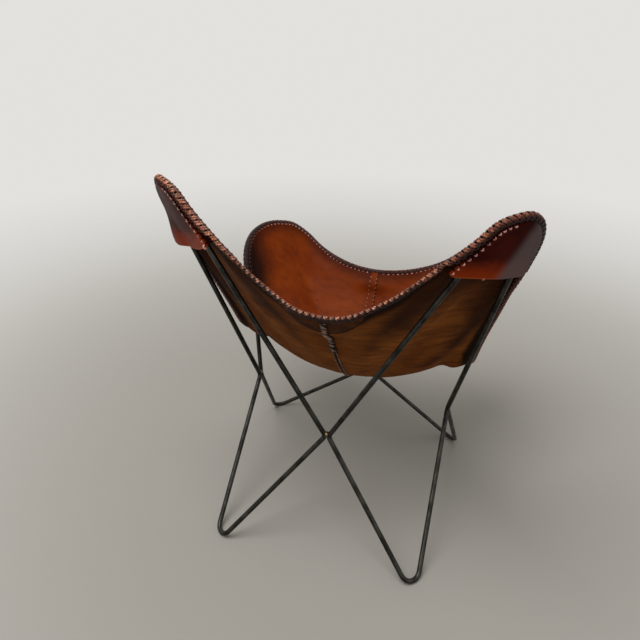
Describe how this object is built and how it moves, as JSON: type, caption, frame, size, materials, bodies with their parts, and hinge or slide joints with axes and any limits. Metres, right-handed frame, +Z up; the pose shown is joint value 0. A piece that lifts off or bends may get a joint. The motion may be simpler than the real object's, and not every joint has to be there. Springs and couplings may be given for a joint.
{
  "type": "butterfly sling chair",
  "caption": "Lounge chair: a bent round-rod frame with hoops that hold the pockets of a thick leather sling seat; it stands on the bends of its rods.",
  "frame": {"origin": "on the floor, under the middle of the chair's plan", "axes": "+Z up, -Y towards the front of the chair, +X towards the sitter's left"},
  "size_m": [0.7688, 0.7108, 0.8744],
  "materials": {
    "steel_rod": "blackened mill finish, satin",
    "weld_bead": "as welded, heat tinted",
    "panel_leather": "thick saddle leather, oiled grain side",
    "pocket_leather": "dark oiled grain side",
    "red_lacing": "waxed leather lace",
    "dark_lacing": "dark waxed leather lace",
    "strap_leather": "oiled leather strap",
    "patch_leather": "dark leather patch"
  },
  "bodies": {
    "root": {"hoop_rod_back_left": "steel_rod", "hoop_rod_back_right": "steel_rod", "hoop_rod_front_left": "steel_rod", "hoop_rod_front_right": "steel_rod", "foot_rod_back_left": "steel_rod", "foot_rod_back_right": "steel_rod", "foot_rod_front_left": "steel_rod", "foot_rod_front_right": "steel_rod", "weld_back": "weld_bead", "weld_front": "weld_bead", "weld_side_left": "weld_bead", "weld_side_right": "weld_bead", "sling_panel_left": "panel_leather", "sling_panel_right": "panel_leather", "pocket_back_left": "pocket_leather", "pocket_back_right": "pocket_leather", "pocket_front_left": "pocket_leather", "pocket_front_right": "pocket_leather", "lacing_back_edge": "red_lacing", "lacing_front_edge": "dark_lacing", "lacing_side_edge_left": "dark_lacing", "lacing_side_edge_right": "dark_lacing", "lacing_hoop_back_left": "dark_lacing", "lacing_hoop_back_right": "dark_lacing", "lacing_hoop_front_left": "dark_lacing", "lacing_hoop_front_right": "dark_lacing", "seam_strap": "strap_leather", "seam_lacing": "dark_lacing", "half_moon_patch": "patch_leather"}
  },
  "joints": []
}
